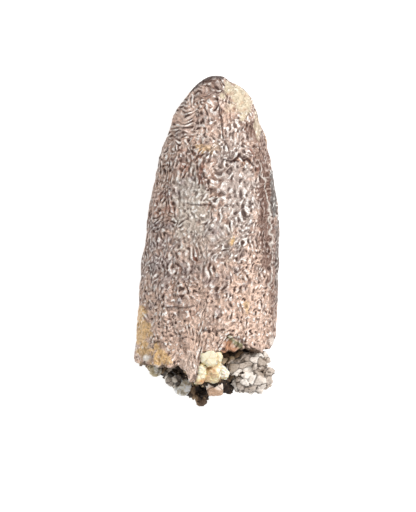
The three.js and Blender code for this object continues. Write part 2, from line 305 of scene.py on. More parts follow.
MATH = "ShaderNodeMath"  # adds, unless another operation is set
MIX = "ShaderNodeMix"
RANGE = "ShaderNodeMapRange"
NOISE = "ShaderNodeTexNoise"
RAMP = "ShaderNodeValToRGB"
RANDOM = "FunctionNodeRandomValue"
VALUE = "ShaderNodeAttribute"
BUMP = "ShaderNodeBump"
MIXED = {"give": 2, "data_type": "RGBA"}  # what makes a Mix node mix colours
SOFT = {"interpolation_type": "SMOOTHSTEP"}


def colour(hex_code):
    """An sRGB hex colour as linear RGBA."""
    values = [int(hex_code[i:i + 2], 16) / 255 for i in (1, 3, 5)]
    return [v / 12.92 if v <= 0.04045 else ((v + 0.055) / 1.055) ** 2.4 for v in values] + [1.0]


def add(tree, kind, inputs=None, give=0, ramp=None, **settings):
    """Adds a node and returns its output named or numbered give. An input is a value or a socket to
    link from, and ramp lists the places and colours of a colour ramp."""
    node = tree.nodes.new(kind)
    for key, value in settings.items():
        setattr(node, key, value)
    for key, value in (inputs or {}).items():
        if isinstance(value, bpy.types.NodeSocket):
            tree.links.new(value, node.inputs[key])
        else:
            node.inputs[key].default_value = value
    if ramp:
        stops = node.color_ramp.elements
        while len(stops) < len(ramp):
            stops.new(0.5)
        for stop, (place, hex_code) in zip(stops, ramp):
            stop.position = place
            stop.color = colour(hex_code)
    return node.outputs[give] if node.outputs else node


def per_mm(size):
    """A texture scale that makes a pattern's features about size mm across, in object metres."""
    return 1 / (size * MM)


def new_material(name):
    """An empty material, its node tree, and its Object coordinates."""
    material = bpy.data.materials.new(name)
    material.use_nodes = True
    tree = material.node_tree
    tree.nodes.clear()
    return material, tree, add(tree, "ShaderNodeTexCoord", give="Object")


def shade(tree, inputs):
    """The principled shader with its inputs, joined to the material's output."""
    surface = add(tree, "ShaderNodeBsdfPrincipled", inputs)
    add(tree, "ShaderNodeOutputMaterial", {"Surface": surface})


# Stains of the enamel: the value on its points that says where, and its colour
STAINS = [
    ("peach", "#f7d2bb"),
    ("lilac", "#b4aaad"),
    ("greyed", "#d2c6b8"),
    ("brown", "#866353"),
    ("rust", "#96583c"),
    ("worn", "#e3d2b4"),
    ("ochre", "#ffd292"),
    ("glossy", "#d4c1b6"),
    ("orange", "#c98f68"),
    ("green", "#aeab80"),
    ("slate", "#6f6863"),
    ("white", "#fbf4ea"),
]

# Other values on the same points, and what each says
OTHER_MARKS = [
    ("dark", "cracks and rims, over everything else"),
    ("deep", "where wrinkles stand out most"),
    ("dirt_and_shade", "how much dirt the grooves hold"),
    # bare: how strongly the painted highlights show on the wrinkles' tops
    ("bare", "how white the rubbed tops show"),
]


def weathered_enamel():
    """Fossil tooth enamel: once white and glassy, stained brown and pink by iron in the ground. Its
    wrinkles are 0.5 mm apart, with painted highlights on their shiny tops, and dark brown in the lines
    between that is partly grime and partly painted shade."""
    material, tree, here = new_material("weathered_enamel")
    names = [name for name, _ in STAINS + OTHER_MARKS] + ["worm", "broken", "hollow"]
    at = {name: add(tree, VALUE, give="Fac", attribute_name=name) for name in names}

    # Clouded ground colour, with reddish blushes, under the stains
    cloud = add(tree, NOISE, {"Vector": here, "Scale": per_mm(2.4), "Detail": 3, "Roughness": 0.6})
    tint = add(tree, RAMP, {0: cloud}, ramp=[
        (0.3, "#a3928b"), (0.43, "#c8afa2"), (0.56, "#e6c4b0"), (0.7, "#dccdc3")])
    blush = add(tree, NOISE, {"Vector": here, "Scale": per_mm(0.9), "Detail": 2})
    blush = add(tree, RANGE, {0: blush, 1: 0.5, 2: 0.66, 3: 0, 4: 0.5})
    tint = add(tree, MIX, {0: blush, 6: tint, 7: colour("#a9765c")}, **MIXED)
    for name, hex_code in STAINS:
        tint = add(tree, MIX, {0: at[name], 6: tint, 7: colour(hex_code)}, **MIXED)

    # Dark brown in the grooves, where the wrinkles' field is high, paler on their sides: partly grime,
    # partly painted shade
    worm = at["worm"]
    patch = add(tree, NOISE, {"Vector": here, "Scale": per_mm(0.8), "Detail": 3})
    strong = add(tree, RANGE, {0: patch, 1: 0.36, 2: 0.56, 3: 0.15, 4: 1.0})
    # The shiny strip and the bold areas get darker grooves and stronger painted highlights
    deep = add(tree, MATH, {0: at["deep"], 1: at["glossy"]}, operation="MAXIMUM")
    strong = add(tree, MATH, {0: strong, 1: deep}, operation="MAXIMUM")
    side = add(tree, RANGE, {0: worm, 1: -0.1, 2: 0.45, 3: 0, 4: 0.38}, **SOFT)
    bottom = add(tree, RANGE, {0: worm, 1: 0.4, 2: 1.0, 3: 0, 4: 0.6}, **SOFT)
    line = add(tree, MATH, {0: side, 1: bottom})
    line = add(tree, MATH, {0: line, 1: strong}, operation="MULTIPLY")

    # Painted highlights on their tops, where the field is low, in patches
    highlit = add(tree, RANGE, {0: worm, 1: -0.35, 2: -1.1}, **SOFT)
    highlight_patches = add(tree, NOISE, {"Vector": here, "Scale": per_mm(1.4), "Detail": 2, "Distortion": 0.6})
    highlight_patches = add(tree, RANGE, {0: highlight_patches, 1: 0.4, 2: 0.58, 3: 0.15, 4: 1.0})
    highlight_patches = add(tree, MATH, {0: highlight_patches, 1: deep}, operation="MAXIMUM")
    highlit = add(tree, MATH, {0: highlit, 1: highlight_patches}, operation="MULTIPLY")
    highlit = add(tree, MATH, {0: highlit, 1: at["bare"]}, operation="MULTIPLY")

    # Hair lines between the wrinkles, 0.2 mm apart
    hair = add(tree, NOISE, {"Vector": here, "Scale": per_mm(0.42), "Detail": 1.5, "Distortion": 0.8})
    hair = add(tree, MATH, {0: hair, 1: 0.5}, operation="SUBTRACT")
    hair = add(tree, MATH, {0: hair}, operation="ABSOLUTE")
    hair = add(tree, RANGE, {0: hair, 1: 0.06, 2: 0.0}, **SOFT)
    thin = add(tree, MATH, {0: hair, 1: 0.5}, operation="MULTIPLY")
    # How darkly the grooves and hair lines are painted, grime and painted shade together
    depth = add(tree, MATH, {0: line, 1: thin}, operation="MAXIMUM")
    depth = add(tree, MATH, {0: depth, 1: at["dirt_and_shade"]}, operation="MULTIPLY")
    # Near-white painted highlight on the tops, then the grooves' dark brown over it
    pale = add(tree, MIX, {0: highlit, 6: tint, 7: colour("#fffaf4")}, **MIXED)
    dirt_shade_and_sheen = add(tree, MIX, {0: depth, 6: pale, 7: colour("#42261a")}, **MIXED)
    dirt_shade_and_sheen = add(tree, MIX, {0: at["dark"], 6: dirt_shade_and_sheen, 7: colour("#3c1a0b")}, **MIXED)

    # Dentine on the broken wall, darker down in the hollow
    speck = add(tree, NOISE, {"Vector": here, "Scale": per_mm(0.6), "Detail": 4, "Roughness": 0.65})
    dentine = add(tree, RAMP, {0: speck}, ramp=[(0.3, "#4a382c"), (0.5, "#7d6350"), (0.7, "#a58c74")])
    inner = add(tree, MIX, {0: at["hollow"], 6: dentine, 7: colour("#3a2c24")}, **MIXED)
    surface = add(tree, MIX, {0: at["broken"], 6: dirt_shade_and_sheen, 7: inner}, **MIXED)

    shine = add(tree, RANGE, {0: at["glossy"], 1: 0, 2: 1, 3: 0.4, 4: 0.24})
    dull = add(tree, MATH, {0: depth, 1: 0.35, 2: shine}, operation="MULTIPLY_ADD")
    ridge = add(tree, RANGE, {0: worm, 1: 1.0, 2: -0.8}, **SOFT)
    relief = add(tree, MATH, {0: hair, 1: -0.3, 2: ridge}, operation="MULTIPLY_ADD")
    normal = add(tree, BUMP, {"Height": relief, "Distance": 0.1 * MM, "Strength": 1.0})
    shade(tree, {"Base Color": surface, "Roughness": dull, "IOR": 1.6, "Normal": normal})
    return material


def rock(name, ramp, gap_colour, roughness, speck_depth=0.05, speck_size=0.2, **looks):
    """A stone of packed grains, each coloured by its tone, with darker gaps between. The specks are
    silt, drawn at speck_size mm so that they show."""
    material, tree, here = new_material(name)
    speck = add(tree, NOISE, {"Vector": here, "Scale": per_mm(speck_size), "Detail": 3, "Roughness": 0.6})
    tone = add(tree, VALUE, give="Fac", attribute_name="tone")
    gap = add(tree, VALUE, give="Fac", attribute_name="gap")
    shift = add(tree, MATH, {0: speck, 1: 0.6, 2: -0.3}, operation="MULTIPLY_ADD")
    tone = add(tree, MATH, {0: tone, 1: shift})
    body = add(tree, RAMP, {0: tone}, ramp=ramp)
    surface = add(tree, MIX, {0: gap, 6: body, 7: colour(gap_colour)}, **MIXED)
    normal = add(tree, BUMP, {"Height": speck, "Distance": speck_depth * MM, "Strength": 0.8})
    shade(tree, {"Base Color": surface, "Roughness": roughness, "Normal": normal, **looks})
    return material


def brown_sandstone():
    """Iron-stained sandstone: dark brown cement with tan and grey grains."""
    ramp = [(0.1, "#2c1f18"), (0.4, "#59432f"), (0.7, "#957a5f"), (0.95, "#c4ad8e")]
    return rock("brown_sandstone", ramp, "#1a120e", 0.75)


def grey_sandstone():
    """Coarse pale sandstone: angular grey, white and pinkish quartz grains in a darker cement."""
    ramp = [(0.0, "#675a51"), (0.3, "#b0a091"), (0.6, "#dccdc0"), (0.9, "#fdf4ea")]
    return rock("grey_sandstone", ramp, "#33271f", 0.5)


def cream_calcite():
    """Calcite crystals: white, cream and yellow, waxy, and light goes a little way in."""
    ramp = [(0.05, "#cf9560"), (0.3, "#dcc09a"), (0.55, "#f3dca6"), (0.8, "#f6edd0"), (1.0, "#fdf6e9")]
    return rock("cream_calcite", ramp, "#e6cfa2", 0.4, speck_depth=0.04, **{
        "Subsurface Weight": 0.25, "Subsurface Radius": (1.0, 0.7, 0.45), "Subsurface Scale": 0.4 * MM})


def dark_chert():
    """Chert broken with curved glassy faces: nearly black brown, with sharp glints; its pale facets are
    partly pale specks and partly painted glints.
    """
    ramp = [(0.05, "#33291f"), (0.35, "#7d6f64"), (0.65, "#bfb1a2"), (0.9, "#f0e6d9")]
    return rock("dark_chert", ramp, "#120d0a", 0.2, speck_depth=0.03)


def clear_quartz():
    """Quartz worn to a pebble: greenish grey and see-through under a smooth skin, with pale veils."""
    material, tree, here = new_material("clear_quartz")
    veil = add(tree, NOISE, {"Vector": here, "Scale": per_mm(0.9), "Detail": 2, "Distortion": 2.2})
    body = add(tree, RAMP, {0: veil}, ramp=[
        (0.34, "#bdb09b"), (0.44, "#e0d6c3"), (0.52, "#f6efe1"), (0.55, "#ffffff")])
    normal = add(tree, BUMP, {"Height": veil, "Distance": 0.06 * MM, "Strength": 0.7})
    shade(tree, {"Base Color": body, "Roughness": 0.14, "IOR": 1.54, "Transmission Weight": 0.2,
                 "Normal": normal})
    return material


def pink_feldspar():
    """Feldspar: a blocky pinkish tan grain with stepped cleavage, darker towards its lower half."""
    ramp = [(0.05, "#8a6950"), (0.35, "#cba88d"), (0.65, "#f6dcc8"), (0.95, "#fff7ef")]
    return rock("pink_feldspar", ramp, "#5a4335", 0.45)


def milky_quartz():
    """Milky quartz: a pale greasy grain, yellowed at one side."""
    ramp = [(0.1, "#a08c68"), (0.4, "#cfc1a0"), (0.7, "#e6dfcc"), (0.95, "#fdfaf2")]
    return rock("milky_quartz", ramp, "#8b7757", 0.3, speck_depth=0.03, **{
        "Subsurface Weight": 0.3, "Subsurface Radius": (1.0, 0.9, 0.7), "Subsurface Scale": 0.4 * MM})


# The crown

def wavy(p, width, seed):
    """The same crossing waves that lump the CAD solid."""
    k = 2 * math.pi / width
    x, y, z = p[..., 0], p[..., 1], p[..., 2]
    a = np.sin(k * (0.92 * x + 0.31 * y - 0.24 * z) + seed)
    b = np.sin(k * (0.87 * y - 0.38 * x + 0.31 * z) + 2.1 * seed)
    c = np.sin(k * (0.91 * z + 0.21 * x - 0.36 * y) + 3.7 * seed)
    d = np.sin(1.7 * k * (0.6 * x - 0.5 * y + 0.62 * z) + 5.3 * seed)
    return (a + b + c + d) / 4


def edge_at(degrees):
    """How far down the broken edge reaches, with the same teeth as the CAD solid."""
    angles = [angle for angle, _ in BROKEN_EDGE] + [360]
    reaches = [reach for _, reach in BROKEN_EDGE] + [BROKEN_EDGE[0][1]]
    a = np.radians(degrees % 360)
    jag = sum(np.sin(count * a + i) for i, count in enumerate(JAG_COUNTS))
    return np.interp(degrees % 360, angles, reaches) + EDGE_JAG * jag


def middle_x(t):
    """The crown's middle line, which leans to the right at the tip."""
    return TIP_LEAN - LEAN_FALL * t**LEAN_POWER


def crown_points(t, degrees):
    """Points of the crown's outside as the CAD solid has them, t from 0 at the tip."""
    left = 1 - np.minimum(t, 1)
    width = HALF_WIDTH * np.sqrt(1 - left**WIDTH_TAPER)
    depth = np.sqrt(1 - left**DEPTH_TAPER)
    c, s = np.cos(np.radians(degrees)), np.sin(np.radians(degrees))
    lip = s >= -1e-9
    power = np.where(lip, 1, 2 / TONGUE_SQUARENESS)
    across = np.sign(c) * np.abs(c) ** power
    up = np.sign(s) * np.abs(s) ** power
    point = np.stack((
        middle_x(t) + width * across,
        TIP_Y - CROWN_LENGTH * t,
        MID_HEIGHT - TIP_DROP * left**2 + np.where(lip, LIP_HEIGHT, TONGUE_HEIGHT) * depth * up,
    ), axis=-1)

    turn = np.radians(degrees)
    flutes = sum(np.sin(count * turn + sway * np.sin(pace * t)) for count, sway, pace in FLUTES)
    lumps = LUMP_DEPTH * wavy(point, LUMP_WIDTH, LUMP_SEED)
    relief = smooth(0, PLAIN_TIP, t) * (FLUTE_DEPTH * flutes + lumps)
    for (cx, cy), (hx, hy), height in SPOTS:
        away = np.hypot((point[..., 0] - cx) / hx, (point[..., 1] - cy) / hy)
        relief += np.where(lip, height * smooth(SPOT_RIM, SPOT_CORE, away), 0)
    flank = (degrees + 180) % 360 - 180
    band = smooth(CARINA_ANGLE, CARINA_ANGLE - CARINA_EDGE, np.abs(flank))
    relief += CARINA_STEP * band * smooth(CARINA_START, CARINA_START + CARINA_RISE, t)
    point[..., 0] += relief * across
    point[..., 2] += relief * up
    over = np.maximum((point - FACET_POINT) @ FACET_NORMAL, 0)
    return point - over[..., None] * FACET_NORMAL


def grid_normals(grid):
    """Outward normals of a grid of points whose columns go round and rows go down."""
    around = np.roll(grid, -1, axis=1) - np.roll(grid, 1, axis=1)
    down = np.gradient(grid, axis=0)
    normal = np.cross(down, around)
    normal /= np.maximum(np.linalg.norm(normal, axis=-1, keepdims=True), 1e-9)
    outward = grid - grid.mean(axis=1, keepdims=True)
    return normal * np.sign(np.sum(normal * outward, axis=-1, keepdims=True).mean())


def wrinkle_fields(grid, degrees):
    """Two fields of about -2 to 2: worm, which is high in the dark grooves between the enamel's
    wrinkles and low on their tops, and swell, the broader relief. They are worked out on the surface
    unrolled from the middle of the lip side, and again from that of the tongue side, and each side's
    fields fade into the other's on the flanks."""
    step = np.linalg.norm(np.roll(grid, -1, axis=1) - grid, axis=-1)
    whole = step.sum(axis=1, keepdims=True)
    round_here = np.cumsum(step, axis=1) - step
    pixels = seen(grid)
    stacked = np.zeros(degrees.shape)
    for area, share in zip(STACKED_AREAS, STACKED_SHARES):
        stacked = np.maximum(stacked, share * blob(pixels, *area))
    bold = blob(pixels, *BOLD_AREA)
    lip_share = smooth(140, 110, np.abs((degrees + 90) % 360 - 180))
    worm, swell = 0, 0
    for middle, share, seed in ((90, lip_share, 5), (270, 1 - lip_share, 60)):
        column = int(np.argmin(np.abs(degrees[0] - middle)))
        across = round_here - round_here[:, column:column + 1]
        across = (across + whole / 2) % whole - whole / 2
        flat = np.stack((across, grid[..., 1]), axis=-1)
        for bend, length in BENDS:
            wander = np.stack((waves(flat, length, seed), waves(flat, length, seed + 1)), axis=-1)
            flat = flat + bend * wander
        lengthwise = waves(flat * (1, 0.7), WORM_WAVE, seed + 2, along=0, scatter=0.8, spread=0.35)
        wormy = waves(flat, WORM_WAVE * 0.95, seed + 3, spread=0.35)
        crosswise = waves(flat * (0.5, 1), WORM_WAVE * 0.85, seed + 4, along=math.pi / 2, scatter=0.35)
        calm = smooth(-1, 1, waves(flat, CALM_WAVE, seed + 5))
        calm *= 1 - 0.8 * smooth(*CALM_WIDTH, np.abs(across))
        lean = (1 - stacked) * (0.25 + 0.75 * calm)
        loose = (1 - stacked) * (1 - 0.75 * calm)
        size = np.sqrt(lean**2 + loose**2 + stacked**2 + 1e-6)
        plain = (lean * lengthwise + loose * wormy + stacked * crosswise) / size
        large = BOLD_STRENGTH * waves(flat * (1, 0.75), WORM_WAVE * BOLD_SIZE, seed + 7, spread=0.35)
        mixed = ((1 - bold) * plain + bold * large) / np.sqrt((1 - bold) ** 2 + bold**2)
        worm = worm + share * mixed
        swell = swell + share * waves(flat * (1, 0.6), SWELL_WAVE, seed + 6, spread=0.4)
    even = np.sqrt(lip_share**2 + (1 - lip_share) ** 2)
    return worm / even, swell / even


PINK_START = (-2.5, -8.5)  # y in mm between which the pink lower third sets in

# Marks of the enamel, placed in pixels of the photograph. Each lies on the "lip" side, where it is even
# or else "patchy" or "specked", on that side and a little past it ("wide"), or on the right "flank".

# Stain, where, middle, half sizes, raggedness, seed, strength
OVAL_STAINS = [
    # Worn cream face and yellowed edge right of the tip, and brown left of it
    ("worn", "lip", (236, 92), (12, 12), 0.2, 31, 0.95),
    ("worn", "lip", (244, 104), (8, 13), 0.2, 32, 0.95),
    ("worn", "lip", (257, 126), (4, 15), 0.2, 33, 0.7),
    ("worn", "lip", (233, 108), (6, 6), 0.25, 34, 0.4),
    ("orange", "specked", (240, 98), (16, 20), 0.3, 101, 0.35),
    ("brown", "lip", (252, 129), (8, 13), 0.35, 75, 0.85),
    ("ochre", "lip", (208, 148), (10, 4), 0.4, 76, 0.5),
    ("brown", "lip", (204, 88), (20, 10), 0.3, 36, 0.45),
    # The pale grey patch, and rusty spots above it
    ("greyed", "lip", (191, 205), (17, 36), 0.25, 37, 0.75),
    ("lilac", "lip", (187, 186), (10, 9), 0.3, 38, 0.6),
    ("greyed", "lip", (205, 240), (24, 24), 0.35, 39, 0.4),
    ("lilac", "lip", (212, 230), (9, 12), 0.4, 71, 0.5),
    ("lilac", "lip", (160, 262), (12, 30), 0.5, 72, 0.45),
    ("lilac", "patchy", (210, 272), (22, 30), 0.5, 81, 0.6),
    ("brown", "patchy", (208, 268), (20, 26), 0.5, 89, 0.5),
    ("rust", "patchy", (186, 165), (13, 12), 0.6, 40, 0.7),
    ("rust", "patchy", (200, 172), (5, 13), 0.5, 41, 0.8),
    ("brown", "lip", (189, 166), (16, 12), 0.5, 88, 0.35),
    ("dark", "specked", (188, 160), (17, 17), 0.5, 91, 0.6),
    ("dark", "specked", (200, 172), (6, 12), 0.4, 92, 0.6),
    ("rust", "lip", (195, 257), (2.5, 7), 0.15, 42, 0.85),
    ("rust", "lip", (160, 200), (9, 12), 0.6, 43, 0.4),
    ("ochre", "lip", (232, 235), (3.5, 10), 0.3, 45, 0.95),
    # Where the wrinkles stand out most, with darker grooves and stronger painted highlights
    ("deep", "lip", (188, 162), (18, 18), 0.5, 82, 0.9),
    ("deep", "lip", (212, 192), (15, 28), 0.5, 83, 0.8),
    ("deep", "lip", (162, 255), (12, 34), 0.6, 84, 0.8),
    ("deep", "lip", (236, 125), (12, 16), 0.5, 85, 0.8),
    # Shiny pale strip right of the middle, smoother and with stronger painted highlights, and brown down
    # the left
    ("glossy", "lip", (238, 195), (18, 46), 0.3, 46, 0.95),
    ("glossy", "lip", (228, 150), (16, 22), 0.3, 47, 0.6),
    ("brown", "patchy", (160, 220), (24, 60), 0.4, 48, 0.5),
    ("brown", "patchy", (232, 185), (14, 30), 0.4, 49, 0.4),
    ("rust", "specked", (230, 182), (17, 26), 0.4, 99, 0.55),
    ("orange", "lip", (246, 162), (6, 4), 0.4, 100, 0.6),
    # Right flank: its grey-brown colour, darkened further as painted shade where the side turns away from
    # the light
    ("brown", "flank", (262, 164), (7, 28), 0.3, 77, 0.7),
    ("brown", "flank", (267, 218), (8, 62), 0.25, 50, 0.95),
    ("brown", "flank", (275, 280), (5, 60), 0.2, 51, 0.7),
    ("slate", "flank", (275, 193), (4.5, 30), 0.2, 86, 0.95),
    ("slate", "flank", (279, 262), (3, 45), 0.25, 87, 0.7),
    # Pink lower third and tongue, ochre at the left edge
    ("peach", "lip", (246, 310), (26, 50), 0.3, 53, 0.9),
    ("peach", "patchy", (230, 130), (30, 40), 0.4, 73, 0.5),
    ("peach", "lip", (189, 365), (10, 13), 0.2, 90, 0.95),
    ("peach", "patchy", (163, 168), (14, 24), 0.4, 96, 0.6),
    ("white", "lip", (189, 367), (10, 12), 0.2, 90, 0.2),
    ("ochre", "wide", (142, 335), (7, 28), 0.25, 54, 0.9),
    ("ochre", "lip", (158, 356), (10, 10), 0.35, 55, 0.95),
    ("ochre", "lip", (247, 308), (3, 5), 0.35, 74, 0.6),
    ("rust", "specked", (142, 325), (6, 26), 0.3, 94, 0.6),
    ("orange", "specked", (158, 356), (10, 10), 0.35, 95, 0.4),
    ("greyed", "lip", (150, 350), (6, 10), 0.4, 57, 0.35),
    ("orange", "lip", (199, 378), (6, 8), 0.3, 56, 0.45),
]

# Stain, where, line, width, wobble, seed, strength
LINE_STAINS = [
    # The dark rim left of the tip, the pale line across the grey patch, and the rusty end of the step
    ("dark", "wide", [(190, 88), (201, 80), (212, 76), (221, 76)], 5, 0.3, 35, 0.95),
    ("white", "lip", [(181, 200), (192, 202), (207, 201.5)], 1.8, 0.5, 98, 0.6),
    ("rust", "lip", [(250, 150), (254, 158), (262, 175)], 3, 1.0, 44, 0.6),
    # The cream line down the right flank
    ("white", "flank", [(262, 162), (266, 180), (269, 205), (272, 235), (273, 262), (272, 290)],
     1.2, 1.1, 52, 0.7),
    # Green upper rim of the star-shaped chip, and painted shadow along its upper edge
    ("green", "lip", [(230, 338), (235, 342), (241, 347)], 3.2, 0.5, 60, 0.95),
    ("dark", "lip", [(235, 338), (242, 340), (247, 346)], 2.2, 0.5, 61, 0.75),
]

# The star-shaped chip at the broken edge, orange inside, and the nick right of the tip
STAR_LINES = [
    ([(229, 341), (230, 350), (223, 353)], 5.5, 0.5, 58),
    ([(230, 350), (239, 351)], 4.5, 0.5, 59),
]
NICK_LINE = ([(225, 75), (233, 78)], 5, 0, 93)

# The crust at the left corner, the white chip stuck beside it, and the round pink swelling at the
# right corner with the dark rim around it
CRUST = ((158, 356), (9, 9), 0.35, 55)
CHIP = ((146.5, 358), (3.4, 3.8), 0.05, 78)
BALL = ((272, 341.5), (3.2, 4.4), 0.05, 79)
BALL_AND_RIM = ((272, 341.5), (5, 6.4), 0.05, 79)

# Cracks: line, width, wobble, seed, and how deep one is beside the deepest
CRACKS = [
    # The step below the tip, its dark line partly painted shadow under the step's edge, with the jagged
    # break at its right end
    ([(223, 159), (231, 160.5), (238, 161.5)], 1.3, 0.3, 62, 1.0),
    ([(231, 162), (237, 158), (239, 154.5), (244, 160), (247.5, 159), (253, 165)], 2.0, 0.15, 80, 1.0),
    # The long line down from the tip
    ([(216, 96), (220, 109), (222, 119), (222.5, 130), (226, 140), (229, 150)], 1.3, 0.4, 63, 0.8),
    # Finer ones across the tooth
    ([(202, 330.5), (214, 331.5), (225, 330)], 1.2, 0.3, 64, 0.85),
    ([(165, 307), (180, 308), (195, 306)], 1.2, 0.3, 65, 0.85),
    ([(186, 203), (198, 205), (211, 204)], 1.2, 0.3, 66, 0.85),
    ([(153, 343), (160, 342), (165, 344)], 1.2, 0.3, 67, 0.85),
]
BROWN_CRACKS = [  # half as deep
    ([(236, 258), (243, 270), (252, 285)], 1.4, 0.7, 70),
    ([(246, 178), (256, 170), (260, 160)], 1.4, 0.7, 70),
]


def enamel_marks(grid, degrees):
    """Where each stain is on the enamel, the height that each crack, chip and crust adds, mm, and the
    share of the wrinkles' relief that is left under them."""
    pixels = seen(grid)
    signed = np.where(degrees > 270, degrees - 360, degrees)
    lip = smooth(-4, 6, signed) * smooth(184, 174, degrees)
    areas = {
        "lip": lip,
        "patchy": lip * smooth(-0.6, 1.4, waves(grid, 1.9, 22)),
        "specked": lip * smooth(0.5, 1.3, waves(grid, 0.75, 27)),
        "wide": smooth(-35, 5, signed) * smooth(208, 170, degrees),
        "flank": smooth(-70, -20, degrees - 360 * (degrees > 180)),
    }
    marks = {name: np.zeros(lip.shape) for name, _ in STAINS + OTHER_MARKS}

    def stain(name, mask, strength=1.0):
        marks[name] = np.maximum(marks[name], strength * mask)

    for name, where, *oval, strength in OVAL_STAINS:
        stain(name, areas[where] * blob(pixels, *oval), strength)
    for name, where, *line, strength in LINE_STAINS:
        stain(name, areas[where] * stroke(pixels, *line), strength)
    cloud = smooth(-1.2, 1.2, waves(grid, 4.5, 21))
    stain("peach", smooth(*PINK_START, grid[..., 1]) * (0.4 + 0.6 * cloud), 0.85)

    star = np.max([stroke(pixels, *line) for line in STAR_LINES], axis=0)
    chip = lip * blob(pixels, *CHIP)
    ball = blob(pixels, *BALL)
    stain("orange", lip * star, 0.95)
    stain("white", chip, 0.95)
    stain("white", ball, 0.55)
    stain("dark", np.clip(blob(pixels, *BALL_AND_RIM) - ball, 0, 1), 0.6)

    cracks = np.max([depth * stroke(pixels, *line) for *line, depth in CRACKS], axis=0)
    brown_cracks = np.max([stroke(pixels, *line) for line in BROWN_CRACKS], axis=0)
    # Cracks painted dark; along the step below the tip the dark is partly painted shadow
    stain("dark", lip * cracks, 0.95)
    stain("brown", lip * brown_cracks, 0.7)
    cracks = np.maximum(cracks, 0.5 * brown_cracks)

    # The tongue side has broader stains
    under = 1 - lip
    stain("brown", under * smooth(-0.4, 1.4, waves(grid, 5.5, 23)), 0.5)
    stain("peach", under * smooth(-0.2, 1.4, waves(grid, 6.5, 24)), 0.6)
    stain("ochre", under * smooth(0.8, 2.0, waves(grid, 4.5, 25)), 0.6)

    crust = lip * blob(pixels, *CRUST)
    height = -CRACK_DEPTH * lip * cracks - STAR_DEPTH * lip * star
    height += CHIP_RISE * chip + BALL_RISE * ball - NICK_DEPTH * stroke(pixels, *NICK_LINE)
    height += CRUST_RISE * crust * (1 + 0.6 * waves(grid, CRUST_WAVE, 26, count=24))
    calm = np.clip(marks["worn"] + 0.35 * marks["greyed"] + 0.5 * crust + 0.5 * star + chip + ball, 0, 0.85)
    clean = 0.85 * marks["worn"] + 0.25 * marks["greyed"] + 0.45 * marks["ochre"] + marks["white"]
    marks["dirt_and_shade"] = np.clip(1 - clean, 0.05, 1)
    # Weaker painted highlights where the enamel is stained brown, worn or ochre
    marks["bare"] = np.clip(1 - 0.75 * marks["brown"] - 0.65 * marks["worn"] - 0.4 * marks["ochre"], 0, 1)
    outline = smooth(0.86, 1, np.abs(np.cos(np.radians(degrees))))
    return marks, height, (1 - calm) * (1 - 0.55 * outline)


